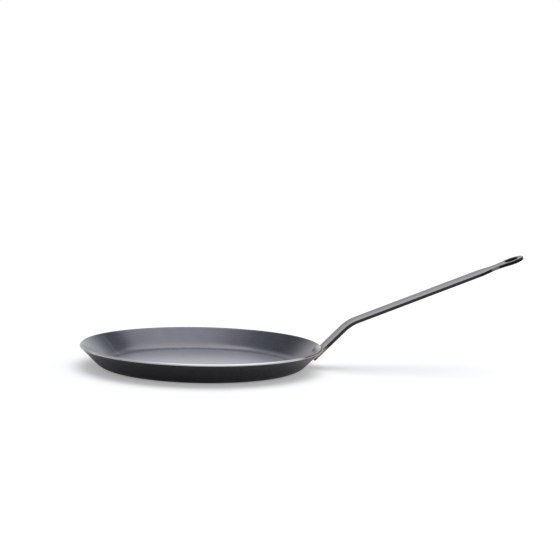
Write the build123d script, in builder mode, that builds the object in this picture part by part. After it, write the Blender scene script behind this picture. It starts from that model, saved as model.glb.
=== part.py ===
from build123d import *
from math import cos, isclose, radians, sin, sqrt, tan
import os

os.makedirs("parts", exist_ok=True)

# Driving dimensions in millimetres and degrees.
# The pan stands on the table at Z 0, its axis is Z, and the handle points along +X.

# Pressed pan
rim_diameter = 240.0
pan_height = 22.5
sheet_thickness = 2.5
wall_angle = 45.0            # slope of the wall, and of the handle's lower run, above the table
floor_corner_radius = 16.0   # inside, where the floor turns up into the wall
rim_bevel = 0.3              # the sheared rim with its burr taken off

# Handle strip
handle_width = 25.0
handle_thickness = 3.2
handle_edge_radius = 0.8     # rounded long edges of the strip
tail_overlap = 14.4          # down the slope, from the rim to the end of the tail
tail_corner_radius = 2.0
lower_run = 36.9             # up the slope, from the rim to the corner of the bend
upper_run = 176.0            # from the corner of the bend to the middle of the hanging eye
upper_run_angle = 21.4       # slope of the grip above the table
bend_radius = 38.0           # on the underside of the bend
seat_rise = 0.3              # the tail's seat stands this far proud of the strip, at mid-width

# Neck and hanging eye
shoulder_length = 17.0       # from full width to the narrowest place of the neck
neck_width = 16.0
neck_to_eye = 18.5           # from the narrowest place to the middle of the eye
eye_diameter = 24.5
eye_flare_angle = 120.0      # where the neck's curve meets the eye's circle
hole_diameter = 14.0
hole_edge_chamfer = 0.4

# Spot welds
weld_spacing = 10.0
nugget_diameter = 5.0
nugget_thickness = 1.6
electrode_mark_diameter = 6.0
electrode_mark_depth = 0.3

cut_overrun = 5.0            # how far a cutting body reaches past what it cuts

# Places that follow from them
rim_radius = rim_diameter / 2
half_width = handle_width / 2
slope_cos = cos(radians(wall_angle))
slope_sin = sin(radians(wall_angle))
rim_corner_height = pan_height - sheet_thickness * slope_cos
base_corner_radius = rim_radius - rim_corner_height / tan(radians(wall_angle))


def on_slope(up, out):
    """A point in the XZ plane, up the wall from the rim's outer corner and out from its outer face."""
    return (rim_radius + up * slope_cos + out * slope_sin, rim_corner_height + up * slope_sin - out * slope_cos)


def slope_plane(up, out):
    """A plane that lies on the slope, with X up the slope and Z pointing out of the wall."""
    x, z = on_slope(up, out)
    return Plane(origin=(x, 0, z), x_dir=(slope_cos, 0, slope_sin), z_dir=(slope_sin, 0, -slope_cos))


# The strip lies along the slope, and the round wall falls away from it towards the strip's edges
tail_end = on_slope(-tail_overlap, seat_rise)
bend_corner = on_slope(lower_run, seat_rise)
tail_end_radius = on_slope(-tail_overlap, 0)[0]
seat_reach = (tail_end_radius - sqrt(tail_end_radius**2 - half_width**2)) * slope_sin
eye_radius = eye_diameter / 2
run_cos = cos(radians(upper_run_angle))
run_sin = sin(radians(upper_run_angle))
tip_reach = upper_run + eye_radius
tip = (bend_corner[0] + tip_reach * run_cos, bend_corner[1] + tip_reach * run_sin)
grip_plane = Plane(
    origin=(bend_corner[0], 0, bend_corner[1]), x_dir=(run_cos, 0, run_sin), z_dir=(-run_sin, 0, run_cos)
)


# Two weld nuggets, half in the wall and half in the tail
with BuildPart(slope_plane(-tail_overlap / 2, 0)) as spot_welds:
    with GridLocations(0, weld_spacing, 1, 2):
        Cylinder(nugget_diameter / 2, nugget_thickness)


def press_electrode_marks(surface_out, side):
    """Two shallow round dents that the welding electrodes leave in the open part."""
    depth = electrode_mark_depth
    ball_radius = ((electrode_mark_diameter / 2) ** 2 + depth**2) / (2 * depth)
    with Locations(slope_plane(-tail_overlap / 2, surface_out + side * (ball_radius - depth))):
        with GridLocations(0, weld_spacing, 1, 2):
            Sphere(ball_radius, mode=Mode.SUBTRACT)


# Pan: one sheet of even thickness, with a flat floor, a rounded corner and a straight flared wall
with BuildPart() as pan_body:
    with BuildSketch(Plane.XZ):
        with BuildLine():
            FilletPolyline(
                (0, 0),
                (base_corner_radius, 0),
                (rim_radius, rim_corner_height),
                radius=floor_corner_radius + sheet_thickness,
            )
            offset(amount=sheet_thickness, side=Side.LEFT)
        make_face()
    revolve(axis=Axis.Z)
    rim_edges = pan_body.edges().filter_by(GeomType.CIRCLE).sort_by(SortBy.RADIUS)[-2:]
    chamfer(rim_edges, rim_bevel)
    press_electrode_marks(-sheet_thickness, -1)
    add(spot_welds.part, mode=Mode.SUBTRACT)


# Handle: one strip, bent once, waisted behind a round hanging eye
with BuildPart() as handle:
    with BuildSketch(Plane.XZ):
        with BuildLine():
            FilletPolyline(tail_end, bend_corner, tip, radius=bend_radius + handle_thickness)
            offset(amount=handle_thickness, side=Side.RIGHT)
        make_face()
    extrude(amount=half_width, both=True)

    # Outline of the strip, seen square to the grip
    neck_place = upper_run - neck_to_eye
    flare = radians(eye_flare_angle)
    flare_point = (upper_run + eye_radius * cos(flare), eye_radius * sin(flare))
    blank_start = -(lower_run + tail_overlap + cut_overrun)
    with BuildSketch(grip_plane):
        with BuildLine():
            blank_end = Line((blank_start, 0), (blank_start, half_width))
            edge = Line(blank_end @ 1, (neck_place - shoulder_length, half_width))
            shoulder = Spline(edge @ 1, (neck_place, neck_width / 2), tangents=((1, 0), (1, 0)))
            Spline(shoulder @ 1, flare_point, tangents=((1, 0), (sin(flare), -cos(flare))))
            ThreePointArc(
                flare_point,
                (upper_run + eye_radius * cos(flare / 2), eye_radius * sin(flare / 2)),
                (tip_reach, 0),
            )
            mirror(about=Plane.XZ)
        make_face()
    extrude(amount=lower_run + cut_overrun, both=True, mode=Mode.INTERSECT)

    # Corners of the tail, then the strip's edge all the way round, above and below
    across_tail = Axis((0, 0, 0), (slope_sin, 0, -slope_cos))
    fillet(handle.edges().filter_by(across_tail).group_by(Axis.X)[0], radius=tail_corner_radius)
    along_grip = Axis((0, 0, 0), (run_cos, 0, run_sin))
    fillet(handle.edges().filter_by(along_grip), radius=handle_edge_radius)

    # Hanging hole
    with BuildSketch(grip_plane):
        with Locations((upper_run, 0)):
            Circle(hole_diameter / 2)
    extrude(amount=handle_thickness + cut_overrun, both=True, mode=Mode.SUBTRACT)
    hole_edges = handle.edges().filter_by(GeomType.CIRCLE).filter_by(
        lambda edge: isclose(edge.radius, hole_diameter / 2)
    )
    chamfer(hole_edges, hole_edge_chamfer)

    # Seat: the tail is filled in to the round wall, from its end up to the rim's bevel
    seat_length = tail_overlap - rim_bevel
    with BuildSketch(slope_plane(-tail_overlap, -seat_reach)) as seat_outline:
        Rectangle(seat_length, handle_width, align=(Align.MIN, Align.CENTER))
        fillet(seat_outline.vertices().group_by(Axis.X)[0], radius=tail_corner_radius)
    extrude(amount=seat_reach + seat_rise + handle_edge_radius)
    with BuildSketch(Plane.XZ):
        with BuildLine():
            Polyline(
                on_slope(cut_overrun, 0),
                on_slope(-tail_overlap - cut_overrun, 0),
                on_slope(-tail_overlap - cut_overrun, -cut_overrun),
                on_slope(cut_overrun, -cut_overrun),
                close=True,
            )
        make_face()
    revolve(axis=Axis.Z, mode=Mode.SUBTRACT)
    press_electrode_marks(handle_thickness + seat_rise, 1)
    add(spot_welds.part, mode=Mode.SUBTRACT)

pan_body.part.label = "pan_body"
export_step(pan_body.part, "parts/pan_body.step")
handle.part.label = "handle"
export_step(handle.part, "parts/handle.step")
spot_welds.part.label = "spot_welds"
export_step(spot_welds.part, "parts/spot_welds.step")
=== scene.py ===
from math import cos, pi, radians, sin, sqrt, tan
from types import SimpleNamespace

import bmesh
import bpy
from mathutils import Matrix, Vector


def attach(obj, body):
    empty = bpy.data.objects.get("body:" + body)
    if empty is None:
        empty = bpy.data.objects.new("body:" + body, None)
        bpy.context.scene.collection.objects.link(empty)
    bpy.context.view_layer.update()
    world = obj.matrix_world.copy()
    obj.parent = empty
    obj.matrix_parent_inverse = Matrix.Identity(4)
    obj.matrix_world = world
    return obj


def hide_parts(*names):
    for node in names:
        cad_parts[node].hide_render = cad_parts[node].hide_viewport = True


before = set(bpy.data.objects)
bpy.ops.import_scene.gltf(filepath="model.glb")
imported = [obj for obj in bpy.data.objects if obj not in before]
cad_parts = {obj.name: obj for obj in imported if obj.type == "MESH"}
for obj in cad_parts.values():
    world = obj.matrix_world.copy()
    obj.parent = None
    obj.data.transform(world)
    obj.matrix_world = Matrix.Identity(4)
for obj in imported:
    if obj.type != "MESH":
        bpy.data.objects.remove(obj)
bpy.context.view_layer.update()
print("frame loaded:", sorted(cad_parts))

mm = 0.001
touching = 0.01 * mm     # points nearer than this are one point


# Selecting and shaping helpers

def deselectAll():
    if bpy.context.mode != "OBJECT":
        bpy.ops.object.mode_set(mode="OBJECT")
    bpy.ops.object.select_all(action="DESELECT")


def choose(piece):
    deselectAll()
    bpy.context.view_layer.objects.active = piece
    piece.select_set(True)


def editOnly(piece, kind="VERT"):
    choose(piece)
    bpy.ops.object.mode_set(mode="EDIT")
    bpy.ops.mesh.select_mode(type=kind)
    bpy.ops.mesh.select_all(action="DESELECT")


def pick(piece, kind, test):
    # selects the verts, edges or faces of the piece in edit mode that pass the test
    shape = bmesh.from_edit_mesh(piece.data)
    bpy.ops.mesh.select_all(action="DESELECT")
    chosen = [part for part in getattr(shape, kind) if test(part)]
    for part in chosen:
        part.select_set(True)
    shape.select_flush_mode()
    bmesh.update_edit_mesh(piece.data)
    return len(chosen)


def middle(edge):
    return (edge.verts[0].co + edge.verts[1].co) / 2


def evenly(start, end, count):
    # places from start to end, both among them
    return [start + (end - start) * k / count for k in range(count + 1)]


def newPiece(name):
    piece = bpy.context.active_object
    piece.name = name
    piece.data.name = name
    return piece


def applyModifier(piece, kind, **settings):
    choose(piece)
    modifier = piece.modifiers.new(kind.title(), kind)
    for key, value in settings.items():
        setattr(modifier, key, value)
    bpy.ops.object.modifier_apply(modifier=modifier.name)


def turnUp(piece):
    # an open skin in edit mode: all its faces point up
    bpy.ops.mesh.select_all(action="SELECT")
    bpy.ops.mesh.normals_make_consistent(inside=False)
    bpy.ops.object.mode_set(mode="OBJECT")
    if piece.data.polygons[0].normal.z < 0:
        piece.data.flip_normals()


def settle(piece, smoothAngle):
    # the place goes into the mesh, doubles are merged and the normals point outwards
    choose(piece)
    bpy.ops.object.transform_apply(location=True, rotation=True, scale=True)
    editOnly(piece)
    bpy.ops.mesh.select_all(action="SELECT")
    bpy.ops.mesh.remove_doubles(threshold=touching)
    bpy.ops.mesh.normals_make_consistent(inside=False)
    bpy.ops.object.mode_set(mode="OBJECT")
    bpy.ops.object.shade_smooth_by_angle(angle=radians(smoothAngle))


# Pan: the inner skin is drawn ring by ring, then given the sheet's thickness

pan = {
    "rimRadius": 120 * mm,
    "height": 22.5 * mm,
    "sheet": 2.5 * mm,
    "wallAngle": 45,            # degrees above the table
    "cornerRadius": 16 * mm,    # inside
    "rimBevel": 0.3 * mm,       # where the handle's seat ends
    "rimRound": 0.52 * mm,      # the worn edges of the sheared rim
    "rimSteps": 3,
    "turns": 256,               # faces round the rim
    "floorRings": 9,
    "cornerRings": 10,
    "wallRings": 9,
    "sharpAngle": 60,
    "smoothAngle": 40,
    "markSpacing": 10 * mm,     # the two spot welds, side by side on the handle's line
    "markBelowRim": 7.2 * mm,   # down the slope from the rim's outer corner
    "markRadius": 3 * mm,
    "markDepth": 0.3 * mm,
    "markReach": 1.6,           # the faces are made finer this many radii out
    "markCuts": 4,
    "markFacing": 0.9,          # and only those that face the electrode
}

# the wall at the handle's side: up its slope, and square out of its outer face
wallSlope = radians(pan["wallAngle"])
slopeUp = Vector((cos(wallSlope), 0, sin(wallSlope)))
slopeOut = Vector((sin(wallSlope), 0, -cos(wallSlope)))
rimCornerHeight = pan["height"] - pan["sheet"] * cos(wallSlope)
cornerTangent = (pan["cornerRadius"] + pan["sheet"]) * tan(wallSlope / 2)
floorEdge = pan["rimRadius"] - rimCornerHeight / tan(wallSlope) - cornerTangent    # where the floor ends


def onSlope(up, out):
    # a place on the wall at the handle's side: up the slope from the rim's outer corner, and out of the wall
    return Vector((
        pan["rimRadius"] + up * cos(wallSlope) + out * sin(wallSlope), 0,
        rimCornerHeight + up * sin(wallSlope) - out * cos(wallSlope),
    ))


def panRings():
    # radius and height of each ring of the inner skin, from the middle of the floor to the rim
    floorHeight = pan["sheet"]
    rings = [(radius, floorHeight) for radius in evenly(0, floorEdge, pan["floorRings"])[1:]]
    for turn in evenly(0, wallSlope, pan["cornerRings"])[1:]:
        radius = floorEdge + pan["cornerRadius"] * sin(turn)
        rings.append((radius, floorHeight + pan["cornerRadius"] * (1 - cos(turn))))
    rim = onSlope(0, -pan["sheet"])
    foot = Vector(rings[-1])
    top = Vector((rim.x, rim.z))
    for share in evenly(0, 1, pan["wallRings"])[1:]:
        rings.append(tuple(foot.lerp(top, share)))
    return rings


def dent(piece, centre, direction):
    # a shallow round mark of an electrode: finer faces, then one point is pushed with its neighbours
    reach = pan["markRadius"] * pan["markReach"]

    def underElectrode(face):
        near = (face.calc_center_median() - centre).length < reach
        return near and face.normal.dot(direction) < -pan["markFacing"]

    editOnly(piece, "FACE")
    pick(piece, "faces", underElectrode)
    bpy.ops.mesh.subdivide(number_cuts=pan["markCuts"])
    editOnly(piece)
    shape = bmesh.from_edit_mesh(piece.data)
    closest = min(shape.verts, key=lambda vert: (vert.co - centre).length)
    closest.select_set(True)
    shape.select_flush_mode()
    bmesh.update_edit_mesh(piece.data)
    bpy.ops.transform.translate(
        value=tuple(direction * pan["markDepth"]), use_proportional_edit=True,
        proportional_edit_falloff="INVERSE_SQUARE", proportional_size=pan["markRadius"],
        use_proportional_connected=True,
    )
    bpy.ops.object.mode_set(mode="OBJECT")


def pressMarks(piece, out, direction):
    # the two welds' marks, on the face that lies this far out of the wall's outer face
    for side in (-1, 1):
        across = Vector((0, side * pan["markSpacing"] / 2, 0))
        dent(piece, onSlope(-pan["markBelowRim"], out) + across, direction)


def makePan():
    rings = panRings()
    deselectAll()
    bpy.ops.mesh.primitive_circle_add(
        vertices=pan["turns"], radius=rings[0][0], fill_type="TRIFAN", location=(0, 0, rings[0][1]),
    )
    piece = newPiece("steelPan")
    bpy.ops.object.transform_apply(location=True, rotation=True, scale=True)
    editOnly(piece, "EDGE")
    pick(piece, "edges", lambda edge: edge.is_boundary)
    for last, ring in zip(rings, rings[1:]):
        grow = ring[0] / last[0]
        bpy.ops.mesh.extrude_region()
        bpy.ops.transform.resize(value=(grow, grow, 1), center_override=(0, 0, 0))
        bpy.ops.transform.translate(value=(0, 0, ring[1] - last[1]))
    turnUp(piece)
    applyModifier(piece, "SOLIDIFY", thickness=pan["sheet"], offset=-1, use_even_offset=True)

    # the sheared rim with its burr taken off
    editOnly(piece, "EDGE")
    bpy.ops.mesh.edges_select_sharp(sharpness=radians(pan["sharpAngle"]))
    bpy.ops.mesh.bevel(offset=pan["rimRound"], segments=pan["rimSteps"], affect="EDGES")
    bpy.ops.object.mode_set(mode="OBJECT")

    pressMarks(piece, -pan["sheet"], slopeOut)
    settle(piece, pan["smoothAngle"])
    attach(piece, "root")
    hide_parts("pan_body")
    print("pan:", len(piece.data.polygons), "faces")
    return piece


# Handle: one strip, spun round its bend, drawn in at the neck and bridged to the ring of the hanging eye

handle = {
    "width": 25 * mm,
    "thickness": 3.2 * mm,
    "edgeRadius": 0.8 * mm,
    "edgeSteps": 4,
    "tailOverlap": 14.4 * mm,
    "tailCorner": 2 * mm,
    "cornerSteps": 6,
    "seatRise": 0.3 * mm,       # the strip's face lies this far off the wall, at mid-width
    "seatSlack": 0.05 * mm,     # what is nearer to that face than this lies on it
    "lowerRun": 36.9 * mm,
    "upperRun": 176 * mm,
    "upperAngle": 21.4,
    "bendRadius": 38 * mm,      # on the underside
    "neckToEye": 18.5 * mm,
    "shoulder": 17 * mm,
    "neckWidth": 16 * mm,
    "eyeDiameter": 24.5 * mm,
    "eyeFlare": 120,            # degrees, where the neck meets the eye's circle
    "holeDiameter": 14 * mm,
    "holeEdge": 0.4 * mm,
    "holeSteps": 2,
    "middleRing": 19.4 * mm,    # a ring of edges between the hole and the eye's circle
    "ringSlack": 0.05 * mm,     # edges nearer to that ring than this belong to it
    "neckEnd": 163.3 * mm,      # where the strip's rows end, from the corner of the bend
    "neckSlack": 0.3 * mm,      # its edges may lie this far inside the eye's circle
    "columns": 12,              # faces across the strip
    "tailRows": 7,
    "firstRow": 0.15 * mm,      # past the seat's end
    "lowerRows": 8,
    "bendRows": 14,
    "gripRows": 16,
    "neckRows": 22,
    "flareSteps": 6,
    "eyeTurns": 72,
    "sharpAngle": 60,
    "smoothAngle": 35,
}

# places on the strip's upper face, which is the one that lies on the wall
tailEnd = onSlope(-handle["tailOverlap"], handle["seatRise"])
seatTop = onSlope(-pan["rimBevel"], handle["seatRise"])
bendCorner = onSlope(handle["lowerRun"], handle["seatRise"])
gripSlope = radians(handle["upperAngle"])
gripAlong = Vector((cos(gripSlope), 0, sin(gripSlope)))
gripUp = Vector((-sin(gripSlope), 0, cos(gripSlope)))
bendTurn = wallSlope - gripSlope
upperBend = handle["bendRadius"] + handle["thickness"]
bendTangent = upperBend * tan(bendTurn / 2)
bendStart = bendCorner - slopeUp * bendTangent
eyeCentre = bendCorner + gripAlong * handle["upperRun"]

# distances along the grip from the corner of the bend
eyeFlare = radians(handle["eyeFlare"])
eyeRadius = handle["eyeDiameter"] / 2
neckPlace = handle["upperRun"] - handle["neckToEye"]
shoulderPlace = neckPlace - handle["shoulder"]
flarePlace = handle["upperRun"] + eyeRadius * cos(eyeFlare)


def outlineHalfWidth(along):
    # half of the strip's width, at a distance along the grip from the corner of the bend
    full = handle["width"] / 2
    neck = handle["neckWidth"] / 2
    if along <= shoulderPlace:
        return full
    if along <= neckPlace:
        k = (neckPlace - along) / handle["shoulder"]
        return neck + (full - neck) * k * k * (3 - 2 * k)
    if along <= flarePlace:
        span = flarePlace - neckPlace
        k = (along - neckPlace) / span
        rise = eyeRadius * sin(eyeFlare) - neck
        endSlope = -cos(eyeFlare) / sin(eyeFlare) * span
        return neck + rise * k * k * (3 - 2 * k) + endSlope * k * k * (k - 1)
    return sqrt(max(eyeRadius**2 - (along - handle["upperRun"]) ** 2, 0))


def onOutline(along, side):
    # a place on the grip's edge
    return bendCorner + gripAlong * along + Vector((0, side * outlineHalfWidth(along), 0))


def onSeat(point):
    # on the part of the tail that lies on the wall
    place = point - seatTop
    return place.dot(slopeUp) < touching and abs(place.dot(slopeOut)) < handle["seatSlack"]


def drawTail():
    # a grid that lies on the slope, its two end corners rounded
    deselectAll()
    bpy.ops.mesh.primitive_grid_add(
        x_subdivisions=handle["tailRows"], y_subdivisions=handle["columns"], size=1,
        location=tuple((tailEnd + seatTop) / 2), rotation=(0, -wallSlope, 0),
    )
    piece = newPiece("stripHandle")
    piece.scale = ((seatTop - tailEnd).length, handle["width"], 1)
    bpy.ops.object.transform_apply(location=True, rotation=True, scale=True)

    def atCorner(vert):
        return abs(vert.co.y) > handle["width"] / 2 - touching and vert.co.x < tailEnd.x + touching

    editOnly(piece)
    pick(piece, "verts", atCorner)
    bpy.ops.mesh.bevel(offset=handle["tailCorner"], segments=handle["cornerSteps"], affect="VERTICES")
    return piece


def drawRuns(piece):
    # the free part of the lower run, its first row close to the rim, then the bend as a spin
    bpy.ops.mesh.select_mode(type="EDGE")
    pick(piece, "edges", lambda edge: edge.is_boundary and middle(edge).x > seatTop.x - touching)
    freeLength = (bendStart - seatTop).length
    stations = [0, handle["firstRow"]] + evenly(0, freeLength, handle["lowerRows"])[1:]
    for last, station in zip(stations, stations[1:]):
        bpy.ops.mesh.extrude_region()
        bpy.ops.transform.translate(value=tuple(slopeUp * (station - last)))
    bendCentre = bendStart + slopeOut * upperBend
    bpy.ops.mesh.spin(steps=handle["bendRows"], angle=-bendTurn, center=tuple(bendCentre), axis=(0, 1, 0))

    # the grip, with closer rows where it narrows
    stations = evenly(bendTangent, shoulderPlace, handle["gripRows"])
    stations += evenly(shoulderPlace, handle["neckEnd"], handle["neckRows"])[1:]
    for last, station in zip(stations, stations[1:]):
        narrow = outlineHalfWidth(station) / outlineHalfWidth(last)
        bpy.ops.mesh.extrude_region()
        bpy.ops.transform.translate(value=tuple(gripAlong * (station - last)))
        bpy.ops.transform.resize(value=(1, narrow, 1), center_override=(0, 0, 0))


def drawChains(piece):
    # one chain of edges on each side, round to where the neck meets the eye's circle
    stations = evenly(handle["neckEnd"], flarePlace, handle["flareSteps"])
    for side in (-1, 1):
        chain = [onOutline(station, side) for station in stations]
        bpy.ops.mesh.select_mode(type="VERT")
        pick(piece, "verts", lambda vert: (vert.co - chain[0]).length < touching)
        for last, place in zip(chain, chain[1:]):
            bpy.ops.mesh.extrude_verts_indiv()
            bpy.ops.transform.translate(value=tuple(place - last))
    bpy.ops.object.mode_set(mode="OBJECT")


def drawEye():
    # rings round the hanging hole, the outer one open towards the neck
    deselectAll()
    bpy.ops.mesh.primitive_circle_add(
        vertices=handle["eyeTurns"], radius=handle["holeDiameter"] / 2, fill_type="NOTHING",
        location=tuple(eyeCentre), rotation=(0, -gripSlope, 0),
    )
    ring = newPiece("eyeRing")
    bpy.ops.object.transform_apply(location=True, rotation=True, scale=True)
    editOnly(ring, "EDGE")
    bpy.ops.mesh.select_all(action="SELECT")
    diameters = [handle["holeDiameter"], handle["middleRing"], handle["eyeDiameter"]]
    for last, diameter in zip(diameters, diameters[1:]):
        bpy.ops.mesh.extrude_region()
        bpy.ops.transform.resize(value=(diameter / last,) * 3, center_override=tuple(eyeCentre))

    def towardsNeck(face):
        place = face.calc_center_median() - eyeCentre
        return place.length > handle["middleRing"] / 2 and place.normalized().dot(gripAlong) < cos(eyeFlare)

    bpy.ops.mesh.select_mode(type="FACE")
    pick(ring, "faces", towardsNeck)
    bpy.ops.mesh.delete(type="FACE")
    bpy.ops.object.mode_set(mode="OBJECT")
    return ring


def bridgeEye(piece, ring):
    # the neck's end and the two chains are bridged to the middle ring
    choose(piece)
    ring.select_set(True)
    bpy.ops.object.join()

    def facesGap(edge):
        along = (middle(edge) - bendCorner).dot(gripAlong)
        place = middle(edge) - eyeCentre
        onNeck = handle["neckEnd"] - touching < along < flarePlace
        onNeck = onNeck and place.length > eyeRadius - handle["neckSlack"]
        onRing = abs(place.length - handle["middleRing"] / 2) < handle["ringSlack"]
        onRing = onRing and place.normalized().dot(gripAlong) < cos(eyeFlare)
        return (edge.is_boundary or edge.is_wire) and (onNeck or onRing)

    editOnly(piece, "EDGE")
    print("bridged edges:", pick(piece, "edges", facesGap))
    bpy.ops.mesh.bridge_edge_loops()
    bpy.ops.mesh.select_all(action="SELECT")
    bpy.ops.mesh.remove_doubles(threshold=touching)
    turnUp(piece)


def roundEdges(piece):
    # a small chamfer at the hole, then rounded edges all round, but not where the tail lies on the wall
    def sharp(edge):
        return edge.calc_face_angle(0) > radians(handle["sharpAngle"])

    def atHole(edge):
        place = middle(edge) - eyeCentre
        return (place - gripUp * place.dot(gripUp)).length < handle["middleRing"] / 2

    def onOutside(edge):
        return sharp(edge) and not atHole(edge) and not onSeat(middle(edge))

    editOnly(piece, "EDGE")
    pick(piece, "edges", lambda edge: sharp(edge) and atHole(edge))
    bpy.ops.mesh.bevel(offset=handle["holeEdge"], segments=handle["holeSteps"], affect="EDGES")
    print("outline edges:", pick(piece, "edges", onOutside))
    bpy.ops.mesh.bevel(offset=handle["edgeRadius"], segments=handle["edgeSteps"], affect="EDGES")
    bpy.ops.object.mode_set(mode="OBJECT")


def seatTail(piece, wall):
    # the face of the tail that lies on the slope is drawn to the round wall
    seat = piece.vertex_groups.new(name="seat")
    seat.add([vert.index for vert in piece.data.vertices if onSeat(vert.co)], 1, "REPLACE")
    applyModifier(
        piece, "SHRINKWRAP", target=wall, wrap_method="NEAREST_SURFACEPOINT", vertex_group="seat", offset=0,
    )
    piece.vertex_groups.clear()


def makeHandle(wall):
    piece = drawTail()
    drawRuns(piece)
    drawChains(piece)
    bridgeEye(piece, drawEye())
    applyModifier(piece, "SOLIDIFY", thickness=handle["thickness"], offset=-1, use_even_offset=True)
    roundEdges(piece)
    seatTail(piece, wall)
    pressMarks(piece, handle["seatRise"] + handle["thickness"], -slopeOut)
    settle(piece, handle["smoothAngle"])
    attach(piece, "root")
    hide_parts("handle")
    print("handle:", len(piece.data.polygons), "faces")
    return piece


# Camera: the photograph's place, heading, tilt and lens

camera = {
    "distance": 1.7,            # from the pan's axis, at aimHeight above the table
    "aimHeight": 10 * mm,
    "elevation": 9.314,
    "handleTurn": 4.231,        # the handle points this far away from the picture's plane
    "yaw": 2.602,
    "pitch": 6.692,
    "roll": 1.510,
    "scale": 1.00657,           # picture points for each millimetre at the pan's axis
    "pictureWidth": 560,
    "sensorWidth": 36,
    "farthest": 100,
}


def makeCamera():
    data = bpy.data.cameras.new("camera")
    data.sensor_width = camera["sensorWidth"]
    focal = camera["scale"] * camera["distance"] / mm
    data.lens = data.sensor_width * focal / camera["pictureWidth"]
    data.clip_end = camera["farthest"]
    item = bpy.data.objects.new("camera", data)
    bpy.context.scene.collection.objects.link(item)
    rise = radians(camera["elevation"])
    turn = radians(camera["handleTurn"])
    away = camera["distance"] * cos(rise)
    high = camera["distance"] * sin(rise) + camera["aimHeight"]
    place = Vector((-away * sin(turn), -away * cos(turn), high))
    heading = Matrix.Rotation(-radians(camera["yaw"] + camera["handleTurn"]), 4, "Z")
    tilt = Matrix.Rotation(radians(90 - camera["pitch"]), 4, "X")
    roll = Matrix.Rotation(radians(camera["roll"]), 4, "Z")
    item.matrix_world = Matrix.Translation(place) @ heading @ tilt @ roll
    bpy.context.scene.camera = item
    print("camera: lens", round(data.lens, 2))


# Shader building

class Number:
    # a socket that carries a number, with Python's own operators
    def __init__(self, finish, socket):
        self.finish = finish
        self.socket = socket

    def maths(self, operation, first, second=None):
        inputs = {0: first} if second is None else {0: first, 1: second}
        made = self.finish.node("ShaderNodeMath", {"operation": operation}, inputs)
        return self.finish.number(made.outputs[0])

    def __add__(self, other):
        return self.maths("ADD", self, other)

    def __radd__(self, other):
        return self.maths("ADD", other, self)

    def __sub__(self, other):
        return self.maths("SUBTRACT", self, other)

    def __rsub__(self, other):
        return self.maths("SUBTRACT", other, self)

    def __mul__(self, other):
        return self.maths("MULTIPLY", self, other)

    def __rmul__(self, other):
        return self.maths("MULTIPLY", other, self)

    def __truediv__(self, other):
        return self.maths("DIVIDE", self, other)

    def __pow__(self, other):
        return self.maths("POWER", self, other)

    def __abs__(self):
        return self.maths("ABSOLUTE", self)

    def most(self, other):
        return self.maths("MAXIMUM", self, other)

    def step(self, low, high):
        # 0 at low, 1 at high, smooth between them, and low may be the greater
        if low > high:
            return 1 - self.step(high, low)
        inputs = {0: self, 1: low, 2: high, 3: 0.0, 4: 1.0}
        made = self.finish.node("ShaderNodeMapRange", {"interpolation_type": "SMOOTHSTEP"}, inputs)
        return self.finish.number(made.outputs[0])

    def band(self, start, full, fading, gone):
        # 1 from full to fading, 0 before start and past gone
        return self.step(start, full) * self.step(gone, fading)

    def sway(self, amount):
        # how far a noise is from its middle, times an amount
        return (self - 0.5) * amount


class Finish:
    # the nodes of one material
    def __init__(self, tree):
        self.tree = tree
        self.tree.nodes.clear()

    def node(self, kind, settings=None, inputs=None):
        made = self.tree.nodes.new(kind)
        for key, value in (settings or {}).items():
            setattr(made, key, value)
        for key, value in (inputs or {}).items():
            source = getattr(value, "socket", value)
            if isinstance(source, bpy.types.NodeSocket):
                self.tree.links.new(source, made.inputs[key])
            else:
                made.inputs[key].default_value = source
        return made

    def number(self, socket):
        return Number(self, socket)

    def numbers(self, vector):
        # a vector's three numbers
        parts = self.node("ShaderNodeSeparateXYZ", None, {0: vector}).outputs
        return [self.number(part) for part in parts]

    def place(self):
        # the point on the piece, in its own metres
        return self.node("ShaderNodeTexCoord").outputs["Object"]

    def noise(self, vector, scale, detail=3.0, roughness=0.5, stretch=None):
        if stretch:
            inputs = {0: vector, 1: stretch}
            vector = self.node("ShaderNodeVectorMath", {"operation": "MULTIPLY"}, inputs).outputs[0]
        inputs = {"Vector": vector, "Scale": scale, "Detail": detail, "Roughness": roughness}
        return self.number(self.node("ShaderNodeTexNoise", None, inputs).outputs[0])

    def mix(self, factor, first, second):
        # two colours, by a number
        inputs = {0: factor, 6: first, 7: second}
        return self.node("ShaderNodeMix", {"data_type": "RGBA"}, inputs).outputs[2]

    def shade(self, colour, tone):
        # a colour made lighter or darker by a number
        return self.node("ShaderNodeVectorMath", {"operation": "SCALE"}, {0: colour, 3: tone}).outputs[0]

    def bump(self, height, strength, distance):
        inputs = {"Strength": strength, "Distance": distance, "Height": height}
        return self.node("ShaderNodeBump", None, inputs).outputs[0]

    def metal(self, inputs):
        return self.node("ShaderNodeBsdfPrincipled", None, inputs).outputs[0]


def newMaterial(name):
    material = bpy.data.materials.new(name)
    material.use_nodes = True
    return material, Finish(material.node_tree)


def surface(finish, shader):
    finish.node("ShaderNodeOutputMaterial", None, {0: shader})


def wallNumbers(fromAxis, z):
    # how far a point is up the wall's slope from the rim's outer corner, and out of the wall's outer face
    fromRim = fromAxis - pan["rimRadius"]
    height = z - rimCornerHeight
    up = fromRim * cos(wallSlope) + height * sin(wallSlope)
    out = fromRim * sin(wallSlope) - height * cos(wallSlope)
    return up, out


# Blued sheet of the pan

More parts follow.
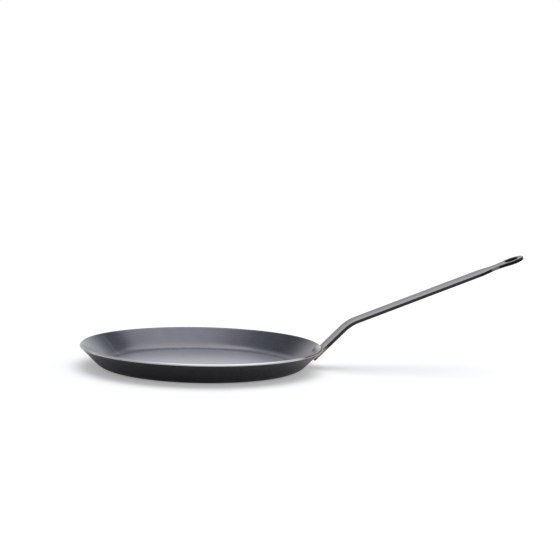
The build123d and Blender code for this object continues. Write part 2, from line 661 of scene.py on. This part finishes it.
# a mark with two places begins at the first and is full at the second, and one with four also fades from
# the third and is gone at the fourth
bluedSheet = {
    "wallBlue": (0.124, 0.131, 0.156, 1),
    "wallMauve": (0.147, 0.142, 0.155, 1),
    "floorBlue": (0.22, 0.225, 0.245, 1),
    "floorGrey": (0.245, 0.24, 0.253, 1),
    "outside": (0.112, 0.111, 0.117, 1),
    # painted shade, for the marks' shadows and the dark line in the cut face
    "paintedShade": (0.035, 0.032, 0.036, 1),
    "outsideOut": (-1.2 * mm, -0.8 * mm),
    "undersideHeight": (1.4 * mm, 1.0 * mm),
    "floorRadius": (floorEdge + 5 * mm, floorEdge - 3 * mm),
    "byHandle": (96 * mm, 106 * mm),

    "clouds": {"scale": 24, "detail": 4, "roughness": 0.6},
    "spots": {"scale": 90},
    "rings": {"scale": 1, "roughness": 0.65},   # left by the spinning of the sheet
    "ringsAround": 2.4,
    "ringsUp": 700,
    "grain": {"scale": 1100},
    "mauve": 0.45,                          # the share of mauve at the axis, in a middling patch
    "mauveClouds": 2.2,                     # and how far the noises and the place move it
    "mauveSpots": 0.7,
    "mauveByHandle": 0.35,
    "ringTone": 0.20,
    "grainTone": 0.10,
    "spotTone": 0.14,
    "floorCalm": 0.8,                       # rings and grain show this much less on the floor

    "corner": (0.166, 0.158, 0.167, 1),     # paler where the floor turns up
    "cornerDepth": 0.9,
    "cornerRadius": (floorEdge + 2.5 * mm, floorEdge + 7 * mm, floorEdge + 9 * mm, floorEdge + 16 * mm),
    "creaseShade": (0.06, 0.058, 0.064, 1),      # painted shade where the floor ends
    "creaseShadeDepth": 0.42,
    "creaseShadeRadius": (floorEdge - 14 * mm, floorEdge + 1 * mm, floorEdge + 5 * mm, floorEdge + 9.5 * mm),
    "creaseShadeAlong": (85 * mm, 45 * mm),

    "rubbed": (0.30, 0.30, 0.305, 1),       # by the handle, just under the rim
    "rubbedDepth": 0.9,
    "rubbedUp": (-5.5 * mm, -2.0 * mm),
    "rubbedAcross": (-22 * mm, -14 * mm, 2 * mm, 8 * mm),
    "scuffAt": 145.6,                       # degrees round the rim from the handle
    "scuffDepth": 0.35,
    "scuffSway": 3 * mm,
    "scuffAcross": (2.4 * mm, 0.4 * mm),
    "scuffReach": (90 * mm, 98 * mm),

    "heated": (0.27, 0.245, 0.25, 1),       # a pale halo round the welds, on the outer wall
    "heatedReach": (34 * mm, 18 * mm),
    "heatedDepth": 0.35,
    "heatedSpots": 0.5,
    "markShadowShift": 3 * mm,                   # painted shadow on each mark, drawn towards the near side
    "markShadowDrop": 0.5 * mm,
    "markShadowWidth": 3.2 * mm,
    "markShadowHeight": 2.4 * mm,
    "markShadowFade": (1.3, 0.5),                # squared, in widths and heights of the painted shadow
    "markShadowDepth": 0.9,
    "wallGlint": (0.80, 0.72, 0.69, 1),      # painted glint: the outer wall beside the tail, made pale
    "wallGlintDepth": 0.9,
    "wallGlintAcross": (48 * mm, 32 * mm),
    "wallGlintUp": (-17 * mm, -13 * mm),

    "cutEdge": (0.76, 0.76, 0.77, 1),       # bare steel at the sheared rim
    "cutUp": (-0.55 * mm, -0.35 * mm),
    "cutOut": (-2.25 * mm, -1.95 * mm),
    "darkerCut": (0.44, 0.42, 0.44, 1),        # the cut rim painted darker on both sides of the handle, and opposite it
    "darkerCutNear": (84 * mm, 96 * mm),
    "darkerCutFar": (-106 * mm, -112 * mm),
    "shadeLineDepth": 0.95,                      # painted shadow line along the middle of the cut face
    "shadeLineThick": (0.8 * mm, 0.4 * mm),
    "shadeLineUp": (-0.8 * mm, -0.5 * mm),
    "shadeLineAcross": (-14 * mm, -24 * mm),
    "shadeLineAlong": (90 * mm, 97 * mm),

    "roughness": 0.26,
    "cloudRoughness": 0.12,
    "ringRoughness": 0.08,
    "floorRoughness": 0.02,
    "cutRoughness": 0.12,
    "markShadowRoughness": 0.35,
    "floorScale": 0.2,                      # this much of the floor's metal is under scale
    "wallGlintScale": 0.7,
    "floorGloss": 1.0,                      # the oily coat
    "glossRoughness": 0.38,
    "bumpStrength": 0.05,
    "bumpDistance": 0.2 * mm,
    "bumpRings": 0.6,
    "bumpGrain": 0.3,
}


def panPlaces(finish):
    # where a point is on the pan, and the noises of the blued skin there
    vector = finish.place()
    x, y, z = finish.numbers(vector)
    radius = (x * x + y * y) ** 0.5
    up, out = wallNumbers(radius, z)
    outside = out.step(*bluedSheet["outsideOut"]).most(z.step(*bluedSheet["undersideHeight"]))
    inside = 1 - outside
    around = bluedSheet["ringsAround"]
    turn = {0: x / radius * around, 1: y / radius * around, 2: up * bluedSheet["ringsUp"]}
    turned = finish.node("ShaderNodeCombineXYZ", None, turn).outputs[0]
    return SimpleNamespace(
        x=x, y=y, radius=radius, up=up, out=out, outside=outside, inside=inside,
        onFloor=radius.step(*bluedSheet["floorRadius"]) * inside,
        byHandle=x.step(*bluedSheet["byHandle"]),
        clouds=finish.noise(vector, **bluedSheet["clouds"]),
        spots=finish.noise(vector, **bluedSheet["spots"]),
        rings=finish.noise(turned, **bluedSheet["rings"]),
        grain=finish.noise(vector, **bluedSheet["grain"]),
    )


def bluedSkin(finish, at):
    # blue and mauve patches, the paler corner, the paler floor and painted shade at its end
    mauve = at.clouds.sway(bluedSheet["mauveClouds"]) + at.spots.sway(bluedSheet["mauveSpots"])
    mauve = mauve + bluedSheet["mauve"] + at.x * (bluedSheet["mauveByHandle"] / pan["rimRadius"])
    wall = finish.mix(mauve, bluedSheet["wallBlue"], bluedSheet["wallMauve"])
    floor = finish.mix(mauve, bluedSheet["floorBlue"], bluedSheet["floorGrey"])
    corner = at.radius.band(*bluedSheet["cornerRadius"]) * at.inside
    # painted shade: a dark ring where the floor ends
    creaseShade = at.radius.band(*bluedSheet["creaseShadeRadius"]) * at.x.step(*bluedSheet["creaseShadeAlong"]) * at.inside
    colour = finish.mix(corner * bluedSheet["cornerDepth"], wall, bluedSheet["corner"])
    colour = finish.mix(at.onFloor, colour, floor)
    return finish.mix(creaseShade * bluedSheet["creaseShadeDepth"], colour, bluedSheet["creaseShade"])


def wornSkin(finish, at, colour):
    # one pale scuff that runs up the wall, and the rubbed skin by the handle
    scuff = radians(bluedSheet["scuffAt"])
    across = at.y * cos(scuff) - at.x * sin(scuff) + at.spots.sway(bluedSheet["scuffSway"])
    reach = at.x * cos(scuff) + at.y * sin(scuff)
    scuffed = abs(across).step(*bluedSheet["scuffAcross"]) * reach.step(*bluedSheet["scuffReach"]) * at.inside
    rubbed = at.up.step(*bluedSheet["rubbedUp"]) * at.y.band(*bluedSheet["rubbedAcross"])
    rubbed = rubbed * at.byHandle * at.inside
    worn = scuffed * bluedSheet["scuffDepth"] + rubbed * bluedSheet["rubbedDepth"]
    return finish.mix(worn, colour, bluedSheet["rubbed"])


def weldHeatShadeAndGlint(finish, at, colour):
    # the halo, painted shadow on each electrode mark and a painted glint on the outer wall beside the tail
    fromWeld = (at.y * at.y + (at.up + pan["markBelowRim"]) ** 2) ** 0.5
    strength = bluedSheet["heatedDepth"] + at.spots * bluedSheet["heatedSpots"]
    halo = fromWeld.step(*bluedSheet["heatedReach"]) * at.byHandle * strength
    colour = finish.mix(halo * at.outside, colour, bluedSheet["heated"])
    # painted shadow on each electrode mark, shifted towards the near side
    markShadow = 0
    for side in (-1, 1):
        across = (at.y - side * pan["markSpacing"] / 2 + bluedSheet["markShadowShift"]) / bluedSheet["markShadowWidth"]
        down = (at.up + pan["markBelowRim"] + bluedSheet["markShadowDrop"]) / bluedSheet["markShadowHeight"]
        markShadow = markShadow + (across * across + down * down).step(*bluedSheet["markShadowFade"])
    markShadow = markShadow * at.byHandle * at.inside
    colour = finish.mix(markShadow * bluedSheet["markShadowDepth"], colour, bluedSheet["paintedShade"])
    # painted glint: the outer wall beside the tail is made pale and less metallic
    wallGlint = abs(at.y).step(*bluedSheet["wallGlintAcross"]) * at.up.step(*bluedSheet["wallGlintUp"])
    wallGlint = wallGlint * at.byHandle * at.outside
    colour = finish.mix(wallGlint * bluedSheet["wallGlintDepth"], colour, bluedSheet["wallGlint"])
    return colour, markShadow, wallGlint


def cutRim(finish, at, colour):
    # the bare cut face of the rim, with its darker stretches and its painted shadow line
    cutFace = at.up.step(*bluedSheet["cutUp"]) * at.out.step(*bluedSheet["cutOut"])
    # the cut rim is painted darker at both ends
    darkerCut = at.x.step(*bluedSheet["darkerCutNear"]).most(at.x.step(*bluedSheet["darkerCutFar"]))
    colour = finish.mix(cutFace, colour, finish.mix(darkerCut, bluedSheet["cutEdge"], bluedSheet["darkerCut"]))
    # painted shadow: a dark line along the cut face by the handle
    shadeLine = abs(at.out + pan["sheet"] / 2).step(*bluedSheet["shadeLineThick"]) * at.up.step(*bluedSheet["shadeLineUp"])
    shadeLine = shadeLine * at.y.step(*bluedSheet["shadeLineAcross"]) * at.x.step(*bluedSheet["shadeLineAlong"])
    return finish.mix(shadeLine * bluedSheet["shadeLineDepth"], colour, bluedSheet["paintedShade"]), cutFace


def bluedSheetMaterial():
    material, finish = newMaterial("bluedSheet")
    at = panPlaces(finish)
    colour = wornSkin(finish, at, bluedSkin(finish, at))
    colour = finish.mix(at.outside, colour, bluedSheet["outside"])
    colour, markShadow, wallGlint = weldHeatShadeAndGlint(finish, at, colour)
    colour, cutFace = cutRim(finish, at, colour)

    speckle = 1 - at.onFloor * bluedSheet["floorCalm"]
    tone = at.rings.sway(bluedSheet["ringTone"]) + at.grain.sway(bluedSheet["grainTone"])
    tone = 1 + (tone + at.spots.sway(bluedSheet["spotTone"])) * speckle
    roughness = at.clouds.sway(bluedSheet["cloudRoughness"]) + at.rings.sway(bluedSheet["ringRoughness"])
    roughness = bluedSheet["roughness"] + roughness * speckle + at.onFloor * bluedSheet["floorRoughness"]
    roughness = roughness + cutFace * bluedSheet["cutRoughness"] + markShadow * bluedSheet["markShadowRoughness"]
    height = (at.rings * bluedSheet["bumpRings"] + at.grain * bluedSheet["bumpGrain"]) * speckle
    surface(finish, finish.metal({
        "Base Color": finish.shade(colour, tone),
        "Metallic": 1 - at.onFloor * bluedSheet["floorScale"] - wallGlint * bluedSheet["wallGlintScale"],
        "Roughness": roughness,
        "Coat Weight": at.onFloor * bluedSheet["floorGloss"],
        "Coat Roughness": bluedSheet["glossRoughness"],
        "Normal": finish.bump(height, bluedSheet["bumpStrength"], bluedSheet["bumpDistance"]),
    }))
    return material


# Strip iron of the handle

# its places are two or four, as the sheet's are
stripIron = {
    "farHalf": (0.104, 0.100, 0.115, 1),
    "nearHalfHighlight": (0.208, 0.205, 0.220, 1),   # painted highlight, paler than the far half
    "nearHighlightAcross": (1.5 * mm, -3.5 * mm),
    "nearHighlightSway": 4 * mm,
    "farEdgeHighlightAcross": (10.5 * mm, 11.8 * mm),
    "farEdgeHighlightDepth": 0.6,
    "underside": (0.13, 0.13, 0.135, 1),
    "undersideFacing": (0, -0.2),

    "side": (0.056, 0.056, 0.057, 1),
    "sideFacing": (0.50, 0.80),
    "sideTail": (0.5 * mm - handle["tailOverlap"], -handle["tailOverlap"]),
    "tipFromEye": (eyeRadius - 0.75 * mm, eyeRadius - 0.35 * mm),
    "tipAlong": (handle["upperRun"] - 4 * mm, handle["upperRun"]),
    "dark": (0.018, 0.018, 0.020, 1),       # painted shade on the flanks of the shoulder and the eye
    "shadedFlankAlong": (134 * mm, 144 * mm),
    "limbShadeDepth": 0.75,                      # painted shade on the eye's near limb, on its face too
    "limbShadeAcross": (-5.5 * mm, -8 * mm),
    "limbShadeAlong": (-9 * mm, -6 * mm, 4 * mm, 7 * mm),
    "neckHighlight": (0.22, 0.22, 0.19, 1),         # painted highlight on the flank of the neck
    "neckHighlightAlong": (151.5 * mm, 154 * mm, 159 * mm, 162 * mm),
    # painted shade in the bore of the hole
    "boreShade": (0.02, 0.02, 0.02, 1),
    "boreShadeFromEye": (handle["holeDiameter"] / 2 + 0.30 * mm, handle["holeDiameter"] / 2 + 0.10 * mm),

    "bronze": (0.36, 0.29, 0.21, 1),        # the welds' heat tint
    "bronzeUp": (-14 * mm, -7 * mm, 0, 6 * mm),
    "bronzeDepth": 0.6,
    "bronzePatches": 0.7,
    "bronzeFace": 0.10,
    "bronzeSide": 0.9,
    "seat": (0.66, 0.58, 0.53, 1),          # painted glint on its flank, next to the wall
    "seatGlintOut": (2.0 * mm, 1.2 * mm),
    "seatGlintUp": (0.4 * mm, -1.0 * mm),

    "streaks": {"scale": 260, "roughness": 0.6, "stretch": (0.08, 1, 0.2)},     # left by the rolling
    "patches": {"scale": 60, "detail": 4, "roughness": 0.6},
    "grain": {"scale": 900},
    "streakTone": 0.30,
    "patchTone": 0.25,
    "grainTone": 0.15,
    "roughness": 0.36,
    "streakRoughness": 0.10,
    "sideRoughness": 0.12,
    "bumpStrength": 0.08,
    "bumpDistance": 0.2 * mm,
    "bumpStreaks": 0.5,
    "bumpGrain": 0.5,
}


def stripPlaces(finish):
    # where a point is on the strip, and the noises of the iron there
    vector = finish.place()
    x, y, z = finish.numbers(vector)
    normal = finish.node("ShaderNodeNewGeometry").outputs["Normal"]
    sideways, upwards = finish.numbers(normal)[1:]
    along = (x - bendCorner.x) * gripAlong.x + (z - bendCorner.z) * gripAlong.z
    fromEye = ((along - handle["upperRun"]) ** 2 + y * y) ** 0.5
    up, out = wallNumbers(x, z)
    tip = fromEye.step(*stripIron["tipFromEye"]) * along.step(*stripIron["tipAlong"])
    onSide = abs(sideways).step(*stripIron["sideFacing"]).most(tip).most(up.step(*stripIron["sideTail"]))
    return SimpleNamespace(
        x=x, y=y, along=along, fromEye=fromEye, up=up, out=out, upwards=upwards, onSide=onSide,
        streaks=finish.noise(vector, **stripIron["streaks"]),
        patches=finish.noise(vector, **stripIron["patches"]),
        grain=finish.noise(vector, **stripIron["grain"]),
    )


def stripColour(finish, at):
    # painted highlight: the near half of the upper face, and a strip by the far edge, are paler than the far
    # half
    near = (at.y + at.patches.sway(stripIron["nearHighlightSway"])).step(*stripIron["nearHighlightAcross"])
    near = near.most(at.y.step(*stripIron["farEdgeHighlightAcross"]) * stripIron["farEdgeHighlightDepth"])
    # painted shade on the face of the eye's near limb
    limbShade = at.y.step(*stripIron["limbShadeAcross"]) * (at.x - eyeCentre.x).band(*stripIron["limbShadeAlong"])
    colour = finish.mix(near, stripIron["farHalf"], stripIron["nearHalfHighlight"])
    colour = finish.mix(limbShade * stripIron["limbShadeDepth"], colour, stripIron["dark"])
    colour = finish.mix(at.upwards.step(*stripIron["undersideFacing"]), colour, stripIron["underside"])

    # the flanks with painted shade and a painted highlight, and painted shade in the bore
    # painted shade on the flanks from the shoulder on
    flank = finish.mix(at.along.step(*stripIron["shadedFlankAlong"]), stripIron["side"], stripIron["dark"])
    # painted highlight: a bright patch on the flank of the neck
    flank = finish.mix(at.along.band(*stripIron["neckHighlightAlong"]), flank, stripIron["neckHighlight"])
    colour = finish.mix(at.onSide, colour, flank)
    # painted shade: the bore of the hole made near black
    colour = finish.mix(at.fromEye.step(*stripIron["boreShadeFromEye"]), colour, stripIron["boreShade"])

    # heat tint round the rim, and a painted glint on the seat's flank
    strength = stripIron["bronzeDepth"] + at.patches * stripIron["bronzePatches"]
    heat = at.up.band(*stripIron["bronzeUp"]) * strength
    heat = heat * (stripIron["bronzeFace"] + at.onSide * stripIron["bronzeSide"])
    colour = finish.mix(heat, colour, stripIron["bronze"])
    # painted glint: the tail's flank next to the wall made pale
    seat = at.out.step(*stripIron["seatGlintOut"]) * at.up.step(*stripIron["seatGlintUp"]) * at.onSide
    return finish.mix(seat, colour, stripIron["seat"])


def stripIronMaterial():
    material, finish = newMaterial("stripIron")
    at = stripPlaces(finish)
    tone = 1 + at.streaks.sway(stripIron["streakTone"]) + at.patches.sway(stripIron["patchTone"])
    tone = tone + at.grain.sway(stripIron["grainTone"])
    roughness = stripIron["roughness"] + at.streaks.sway(stripIron["streakRoughness"])
    height = at.streaks * stripIron["bumpStreaks"] + at.grain * stripIron["bumpGrain"]
    surface(finish, finish.metal({
        "Base Color": finish.shade(stripColour(finish, at), tone),
        "Metallic": 1.0,
        "Roughness": roughness + at.onSide * stripIron["sideRoughness"],
        "Normal": finish.bump(height, stripIron["bumpStrength"], stripIron["bumpDistance"]),
    }))
    return material


weldMetal = {
    "dark": (0.30, 0.29, 0.28, 1),
    "pale": (0.42, 0.41, 0.40, 1),
    "grain": {"scale": 600, "detail": 4},
    "roughness": 0.4,
    "grainRoughness": 0.2,
}


def weldMetalMaterial():
    material, finish = newMaterial("weldMetal")
    grain = finish.noise(finish.place(), **weldMetal["grain"])
    surface(finish, finish.metal({
        "Base Color": finish.mix(grain, weldMetal["dark"], weldMetal["pale"]),
        "Metallic": 1.0,
        "Roughness": weldMetal["roughness"] + grain * weldMetal["grainRoughness"],
    }))
    return material


def dress(piece, material):
    piece.data.materials.clear()
    piece.data.materials.append(material)


# Studio: a pale floor, a soft box overhead, bright low screens, a ceiling glow and a lit strip

studio = {
    "white": (1, 1, 1, 1),
    "floorRadius": 8.0,
    "floorTurns": 96,
    "floorDrop": 0.05 * mm,
    "floorColour": (0.86, 0.86, 0.86, 1),
    "seenColour": (0.97, 0.965, 0.945, 1),
    "floorLift": 0.28,          # the camera sees the floor this much lighter than it is lit
    "boxAngle": 59,             # degrees across
    "boxElevation": 74,
    "boxAzimuth": 36,           # from +Y towards +X
    "boxBrightness": 1.18,
    "surroundColour": (0.94, 0.98, 1.10, 1),
    "surround": 0.26,           # the darker part of the room, above the low screens
    "screens": 0.60,            # how much brighter the low screens are
    "screenHeight": (36, 18),   # degrees, where they begin from above and where they are full
    "sideTilt": 0.6,            # the screens are brighter towards +X
    "backTilt": 0.5,            # and towards +Y
    "glow": 0.30,               # the ceiling round the soft box
    "glowHeight": (38, 75),
    "strip": 0.50,              # an upright lit strip behind the pan
    "stripSide": (0.45, 0.20),  # of a direction one long, and so is the next
    "stripBack": (0.2, 0.5),
}


def makeFloor():
    deselectAll()
    bpy.ops.mesh.primitive_circle_add(
        vertices=studio["floorTurns"], radius=studio["floorRadius"], fill_type="NGON",
        location=(0, 0, -studio["floorDrop"]),
    )
    floor = newPiece("floor")
    bpy.ops.object.transform_apply(location=True, rotation=True, scale=True)
    material, finish = newMaterial("paleFloor")
    path = finish.node("ShaderNodeLightPath").outputs
    plain = finish.node("ShaderNodeBsdfDiffuse", None, {"Color": studio["floorColour"]}).outputs[0]
    paler = finish.node("ShaderNodeBsdfDiffuse", None, {"Color": studio["seenColour"]}).outputs[0]
    glow = {"Color": studio["white"], "Strength": studio["floorLift"]}
    lift = finish.node("ShaderNodeEmission", None, glow).outputs[0]
    lifted = finish.node("ShaderNodeAddShader", None, {0: paler, 1: lift}).outputs[0]
    choice = {0: path["Is Camera Ray"], 1: plain, 2: lifted}
    surface(finish, finish.node("ShaderNodeMixShader", None, choice).outputs[0])
    dress(floor, material)


def makeLight():
    rise = radians(studio["boxElevation"])
    turn = radians(studio["boxAzimuth"])
    towards = Vector((cos(rise) * sin(turn), cos(rise) * cos(turn), sin(rise)))
    data = bpy.data.lights.new("softBox", "SUN")
    data.angle = radians(studio["boxAngle"])
    data.energy = studio["boxBrightness"] * pi * sin(data.angle / 2) ** 2
    item = bpy.data.objects.new("softBox", data)
    item.rotation_euler = towards.to_track_quat("Z", "Y").to_euler()
    bpy.context.scene.collection.objects.link(item)


def sines(degrees):
    return [sin(radians(angle)) for angle in degrees]


def makeWorld():
    world = bpy.data.worlds.new("studio")
    world.use_nodes = True
    bpy.context.scene.world = world
    finish = Finish(world.node_tree)
    side, back, height = finish.numbers(finish.node("ShaderNodeTexCoord").outputs["Generated"])
    low = height.step(*sines(studio["screenHeight"]))
    tilt = 1 + side * studio["sideTilt"] + back * studio["backTilt"]
    glow = height.step(*sines(studio["glowHeight"]))
    strip = abs(side).step(*studio["stripSide"]) * back.step(*studio["stripBack"])
    brightness = studio["surround"] + low * tilt * studio["screens"] + glow * studio["glow"]
    brightness = brightness + strip * studio["strip"] * (1 - low)
    colour = finish.mix(low, studio["surroundColour"], studio["white"])
    lit = finish.node("ShaderNodeBackground", None, {"Color": colour, "Strength": brightness}).outputs[0]
    white = finish.node("ShaderNodeBackground", None, {"Color": studio["white"], "Strength": 1.0}).outputs[0]
    path = finish.node("ShaderNodeLightPath").outputs
    seen = finish.node("ShaderNodeMixShader", None, {0: path["Is Camera Ray"], 1: lit, 2: white}).outputs[0]
    finish.node("ShaderNodeOutputWorld", None, {0: seen})


makeCamera()
panPiece = makePan()
handlePiece = makeHandle(panPiece)
dress(panPiece, bluedSheetMaterial())
dress(handlePiece, stripIronMaterial())
dress(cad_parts["spot_welds"], weldMetalMaterial())
print("materials done")
makeFloor()
makeLight()
makeWorld()
bpy.context.scene.view_settings.view_transform = "Standard"
